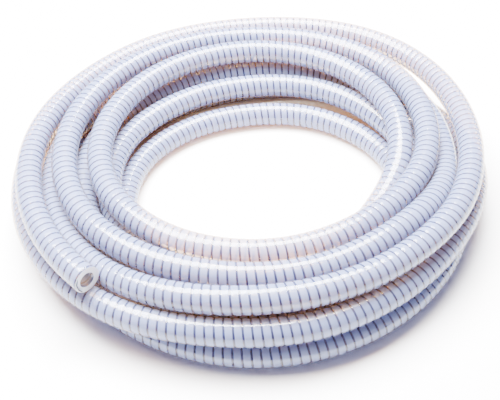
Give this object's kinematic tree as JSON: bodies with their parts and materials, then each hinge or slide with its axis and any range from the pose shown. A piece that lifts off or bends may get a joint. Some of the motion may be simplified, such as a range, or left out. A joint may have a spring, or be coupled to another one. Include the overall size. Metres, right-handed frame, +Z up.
{
  "type": "wire reinforced silicone hose",
  "caption": "Clear milky silicone hose with a steel wire wound into its wall, wound into a loose flat coil with one open cut end on top.",
  "frame": {"origin": "on the floor, under the middle of the coil's own box", "axes": "+Z up along the coil's axis; -Y is the side seen in front, and the cut end lies front left, at -X and -Y"},
  "size_m": [0.4078, 0.4022, 0.0652],
  "materials": {
    "silicone": "translucent milky, glossy",
    "wire": "drawn steel wire"
  },
  "bodies": {
    "root": {"coiled_turns": "silicone", "top_turn": "silicone", "wire_end": "wire"}
  },
  "joints": []
}
